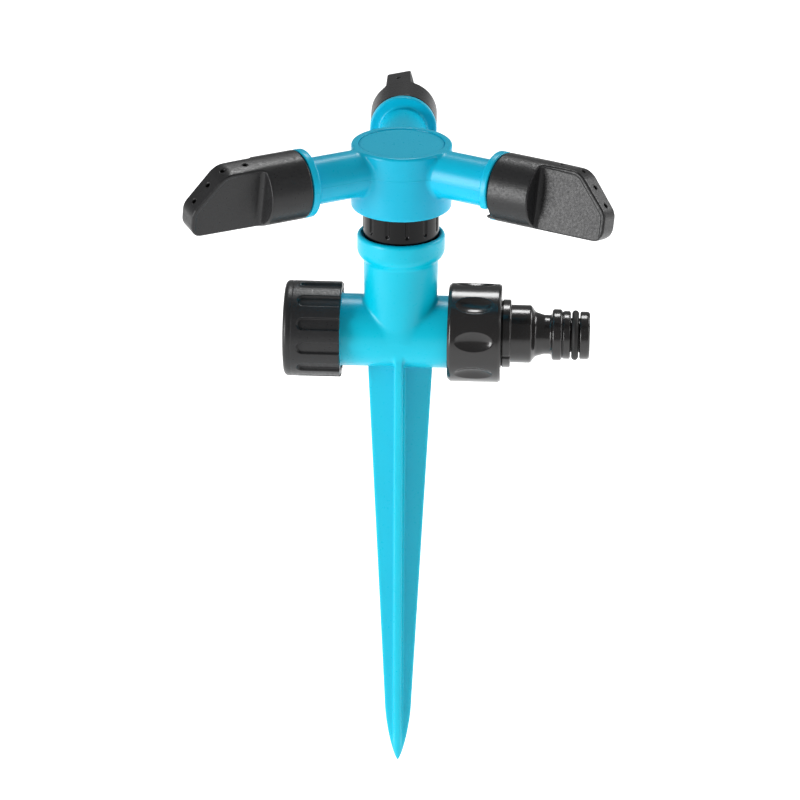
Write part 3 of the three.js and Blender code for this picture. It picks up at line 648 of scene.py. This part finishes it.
# The rotor: a hub with three arms, and its cover. beadAt and grooveAt are places along an arm.
hubSizes = {
    "radius": 17.1, "bottom": 46.0, "top": 68.6, "cavity": 13.4, "floor": 48.6, "seat": 14.6, "seatZ": 66.3,
    "sleeve": 9.2, "sleeveTop": 55.0, "bore": 6.6, "arm": 8.0, "armBore": 5.4, "armFillet": 1.1,
    "flange": 11.6, "flangeStart": 36.6, "flangeEnd": 39.2, "notchFloor": 8.8, "notch": (20.5, 64.0),
    "spigot": 7.85, "spigotEnd": 48.0, "grooveAt": 41.5, "grooveHalf": 0.9, "oRingFloor": 6.6,
    "bead": 8.35, "beadAt": 45.9, "beadHalf": 0.6, "drumEdge": 0.9, "gridStep": 0.46,
}


def hubField(x, y, z):
    # A drum with three tubes, a flange and a spigot on each, hollowed from above and through the arms.
    s = hubSizes
    fromAxis = np.hypot(x, y)
    middle, half = (s["top"] + s["bottom"]) / 2, (s["top"] - s["bottom"]) / 2
    whole = common(fromAxis - s["radius"], np.abs(z - middle) - half, s["drumEdge"])
    hollow = np.maximum(fromAxis - s["cavity"], s["floor"] - z)
    for angle in armAngles:
        along, across = x * math.cos(angle) + y * math.sin(angle), y * math.cos(angle) - x * math.sin(angle)
        upward = z - armHeight
        fromArm = np.hypot(across, upward)
        tube = np.maximum(fromArm - s["arm"], np.maximum(-along, along - s["flangeEnd"]))
        whole = joined(whole, tube, s["armFillet"])
        flangeMiddle = (s["flangeStart"] + s["flangeEnd"]) / 2
        flangeHalf = (s["flangeEnd"] - s["flangeStart"]) / 2
        flange = common(fromArm - s["flange"], np.abs(along - flangeMiddle) - flangeHalf, 0.35)
        low, high = [math.radians(a) for a in s["notch"]]  # from straight down, towards -y of the arm
        wedge = np.maximum(across * math.cos(low) - upward * math.sin(low),
                           upward * math.sin(high) - across * math.cos(high))
        flange = carved(flange, np.maximum(wedge, s["notchFloor"] - fromArm), 0.3)
        whole = joined(whole, flange, 0.8)
        spigot = common(fromArm - s["spigot"], along - s["spigotEnd"], 0.5)
        spigot = np.maximum(spigot, s["flangeEnd"] - 1 - along)
        groove = np.maximum(np.abs(along - s["grooveAt"]) - s["grooveHalf"], s["oRingFloor"] - fromArm)
        bead = common(fromArm - s["bead"], np.abs(along - s["beadAt"]) - s["beadHalf"], 0.3)
        spigot = joined(np.maximum(spigot, -groove), bead, 0.2)
        whole = np.minimum(whole, spigot)
        hollow = np.minimum(hollow, np.maximum(fromArm - s["armBore"], -along))
    # The arms' fillets would otherwise rise above the drum's flat top.
    whole = np.maximum(whole, np.minimum(z - s["top"], s["radius"] + 5 - fromAxis))
    hollow = np.minimum(hollow, np.maximum(fromAxis - s["seat"], s["seatZ"] - z))
    whole = carved(whole, hollow, 0.3)
    sleeve = common(fromAxis - s["sleeve"], z - s["sleeveTop"], 0.4)
    whole = np.minimum(whole, np.maximum(sleeve, s["bottom"] + 1 - z))
    return carved(whole, np.maximum(fromAxis - s["bore"], z - s["sleeveTop"] - 1), 0.3)


hubStep = hubSizes["gridStep"]
hubAxes = (steps(hubLow[0], hubHigh[0], hubStep), steps(hubLow[1], hubHigh[1], hubStep),
           steps(hubLow[2] - pipeHeight, hubHigh[2] - pipeHeight, hubStep))
finishPiece("rotorHub", *fieldSurface(hubField, hubAxes), "hub", "rotor", ["rotor_hub"])

coverSizes = {"radius": 14.55, "bottom": 66.6, "top": 68.2}
turnedPiece("hubCover", [
    (0, coverSizes["bottom"]), (coverSizes["radius"], coverSizes["bottom"], 0.2),
    (coverSizes["radius"], coverSizes["top"], 0.35), (0, coverSizes["top"])],
    "cover", "rotor", ["hub_cover"], "z", 192, 0.6)

# The nozzles, drawn once along x and then turned onto each arm.
nozzleSizes = {
    "radius": 11.6, "start": 39.6, "scoop": 54.8, "flat": 56.4, "halfThickness": 4.6, "taper": 0.75,
    "tip": 80.0, "slopeAt": 69.1, "slopeTop": 10.9, "slopeAngle": 49.1, "lowerRound": 5.0, "rim": 1.5,
    "panel": 0.6, "bore": 8.2, "boreEnd": 49.0, "shell": 2.1, "chamberHalf": 2.4, "jet": 0.85,
    "jets": [60.2, 68.1, 73.4, 77.9], "jetFloor": 4, "jetDepth": 7, "edge": 0.55, "lean": 11.4,
    "beadRoom": 8.8, "beadRoomHalf": 1.1, "lug": 26.0, "lugReach": 2.1, "lugInner": 9.4, "lugHalf": 0.95,
    "gridStep": 0.3,
}


def nozzleField(x, y, z):
    # A round barrel scooped down on both sides to a flat paddle, with a sloping top, a round lower
    # corner, sunk sides, a bore with a chamber and four jets square to the upper edge.
    s = nozzleSizes
    slope = math.radians(s["slopeAngle"])
    fromAxis = np.hypot(y, z)
    droop = (s["radius"] - s["slopeTop"]) / (s["slopeAt"] - s["scoop"])
    level = z - s["radius"] + droop * np.maximum(x - s["scoop"], 0)
    falling = (x - s["slopeAt"]) * math.sin(slope) + (z - s["slopeTop"]) * math.cos(slope)
    end, under = x - s["tip"], -z - s["radius"]

    def outline(inset):  # the paddle's side view, drawn in by inset
        upper = common(common(level + inset, falling + inset, 2.4), end + inset, 1.2)
        return common(upper, under + inset, s["lowerRound"] - inset)

    half = s["halfThickness"] - s["taper"] * np.clip((x - s["flat"]) / (s["tip"] - s["flat"]), 0, 1)
    scoop = common(s["scoop"] - x, half - np.abs(y), s["flat"] - s["scoop"])
    whole = common(common(fromAxis - s["radius"], outline(0.0), s["edge"]), s["start"] - x, 0.4)
    whole = carved(whole, scoop, s["edge"])
    upper = common(common(level + s["rim"], falling + s["rim"], 1.0), end + s["rim"], 0.8)
    sunk = common(s["scoop"] - x, half - s["panel"] - np.abs(y), s["flat"] - s["scoop"])
    whole = carved(whole, common(sunk, upper, 0.25), 0.25)
    bore = np.maximum(fromAxis - s["bore"], x - s["boreEnd"])
    beadGroove = common(fromAxis - s["beadRoom"], np.abs(x - hubSizes["beadAt"]) - s["beadRoomHalf"], 0.2)
    chamber = common(outline(s["shell"]), np.abs(y) - s["chamberHalf"], 0.5)
    hollow = np.minimum(np.minimum(bore, beadGroove), np.maximum(chamber, s["start"] + 3 - x))
    for at in s["jets"]:
        if at < s["slopeAt"]:
            fromJet, below = np.hypot(x - at, y), s["jetFloor"] - z
        else:
            edge = s["slopeTop"] - (at - s["slopeAt"]) * math.tan(slope)
            fromJet = np.hypot((x - at) * math.cos(slope) - (z - edge) * math.sin(slope), y)
            below = -s["jetDepth"] - falling
        whole = carved(whole, common(fromJet - s["jet"], below, 0.1), 0.12)
    return carved(whole, hollow, 0.2)


def lugField(x, y, z):
    # The stop lug: a wedge on the barrel's inner rim, thin at its free end.
    s = nozzleSizes
    a = math.radians(s["lug"])
    outward, sideways = -z * math.cos(a) - y * math.sin(a), y * math.cos(a) - z * math.sin(a)
    reach = s["start"] - s["lugReach"]
    thinning = s["lugInner"] + 0.8 * np.clip(s["start"] - x, 0, 3)
    wedge = common(outward - s["radius"] + 0.1, thinning - outward, 0.2)
    wedge = common(wedge, np.abs(sideways) - s["lugHalf"], 0.2)
    return common(wedge, np.maximum(reach - x, x - s["start"] - 0.8), 0.2)


def wholeNozzle(x, y, z):  # the nozzle and its lug, met with a small fillet
    return joined(nozzleField(x, y, z), lugField(x, y, z), 0.2)


nozzleStep = nozzleSizes["gridStep"]
acrossNozzle = steps(-11.7, 11.7, nozzleStep)
nozzleAxes = (steps(nozzleSizes["start"] - 2.4, nozzleSizes["tip"], nozzleStep), acrossNozzle, acrossNozzle)
nozzlePoints, nozzleFaces = fieldSurface(wholeNozzle, nozzleAxes)
lean = math.radians(nozzleSizes["lean"])
leaning = np.array([[1, 0, 0], [0, math.cos(lean), -math.sin(lean)], [0, math.sin(lean), math.cos(lean)]])
nozzlePoints = nozzlePoints @ leaning  # turned on the spigot, so that the jets drive the rotor
for number, (side, angle) in enumerate(zip(sides, armAngles), 1):
    turn = np.array([[math.cos(angle), math.sin(angle), 0], [-math.sin(angle), math.cos(angle), 0],
                     [0, 0, 1]])
    finishPiece(f"nozzle{side.capitalize()}", nozzlePoints @ turn + [0, 0, armHeight], nozzleFaces,
                "satin", f"nozzle_{side}", [f"nozzle_{number}"])
    oRing(f"nozzleORing{side.capitalize()}", f"nozzle_o_ring_{number}", 7.4, 1.0, "rotor", "x",
          hubSizes["grooveAt"], angle, (0, 0, armHeight))
print("rotor made")

# The retaining ring keeps its CAD shape.
ringNode = frame["nodes"]["retaining_ring"]
ringNode.data.materials.clear()
ringNode.data.materials.append(materials["steel"])


def studioFloor(size, height):
    # Matt white card: a large plane, faintly lit from within so that it stays near white.
    material, tree, place = newMaterial("matt white card")
    fibre = addNode(tree, "ShaderNodeTexNoise", {"Vector": place, "Scale": 300.0, "Detail": 2.0})
    shade = addNode(tree, "ShaderNodeMix", {
        "Factor": fibre.outputs["Fac"], "A": hexColour("#f6f6f6"), "B": hexColour("#fbfbfb")},
        data_type="RGBA")
    shader = addNode(tree, "ShaderNodeBsdfPrincipled", {
        "Base Color": shade.outputs["Result"], "Roughness": 0.9, "Specular IOR Level": 0.1,
        "Emission Color": (1, 1, 1, 1), "Emission Strength": 0.7})
    addNode(tree, "ShaderNodeOutputMaterial", {"Surface": shader.outputs["BSDF"]})
    mesh = bpy.data.meshes.new("studioFloor")
    corners = [(-size, -size, height), (size, -size, height), (size, size, height), (-size, size, height)]
    mesh.from_pydata(corners, [], [(0, 1, 2, 3)])
    mesh.materials.append(material)
    floor = bpy.data.objects.new("studioFloor", mesh)
    bpy.context.scene.collection.objects.link(floor)


def softLight(name, size, power, place, aim):
    lamp = bpy.data.lights.new(name, "AREA")
    lamp.shape = "RECTANGLE"
    lamp.size, lamp.size_y = size
    lamp.energy = power
    holder = bpy.data.objects.new(name, lamp)
    bpy.context.scene.collection.objects.link(holder)
    holder.location = place
    holder.rotation_mode = "QUATERNION"
    holder.rotation_quaternion = (Vector(aim) - Vector(place)).to_track_quat("-Z", "Y")


studioFloor(6.0, cadBox[0][2] - 0.5 * millimetre)  # just under the spike's point
lampAim = (0, 0, 0.03)
softLight("keyLight", (0.6, 0.9), 19.0, (-1.08, -0.72, 0.12), lampAim)
softLight("sideLight", (0.3, 0.9), 3.2, (1.05, -0.15, 0.2), lampAim)
softLight("backLight", (0.5, 0.5), 5.0, (0.95, 0.55, 0.58), lampAim)
softLight("topLight", (0.3, 0.3), 4.6, (0.0, 0.6, 1.0), lampAim)

world = bpy.data.worlds.new("studio")
bpy.context.scene.world = world
world.use_nodes = True
world.node_tree.nodes["Background"].inputs["Color"].default_value = (1, 1, 1, 1)
world.node_tree.nodes["Background"].inputs["Strength"].default_value = 0.25

viewpoint = {"azimuth": 2.98, "elevation": 22.5, "distance": 1.2, "aimHeight": -0.00116, "lens": 156.5,
             "roll": 0.377}


def studioCamera(v):
    # A long lens aimed at a point on the spike's axis, turned a little round its own axis.
    a, e = math.radians(v["azimuth"]), math.radians(v["elevation"])
    back = Vector((math.sin(a) * math.cos(e), -math.cos(a) * math.cos(e), math.sin(e)))
    lens = bpy.data.cameras.new("camera")
    lens.lens, lens.sensor_width = v["lens"], 36.0
    lens.clip_start, lens.clip_end = 0.05, 50.0
    camera = bpy.data.objects.new("camera", lens)
    bpy.context.scene.collection.objects.link(camera)
    camera.location = Vector((0, 0, pipeHeight * millimetre)) + back * v["distance"]
    facing = (Vector((0, 0, v["aimHeight"])) - camera.location).to_track_quat("-Z", "Y")
    camera.rotation_mode = "QUATERNION"
    camera.rotation_quaternion = facing @ Quaternion((0, 0, 1), math.radians(v["roll"]))
    bpy.context.scene.camera = camera


studioCamera(viewpoint)
bpy.context.scene.view_settings.view_transform = "Standard"

print("stage made")
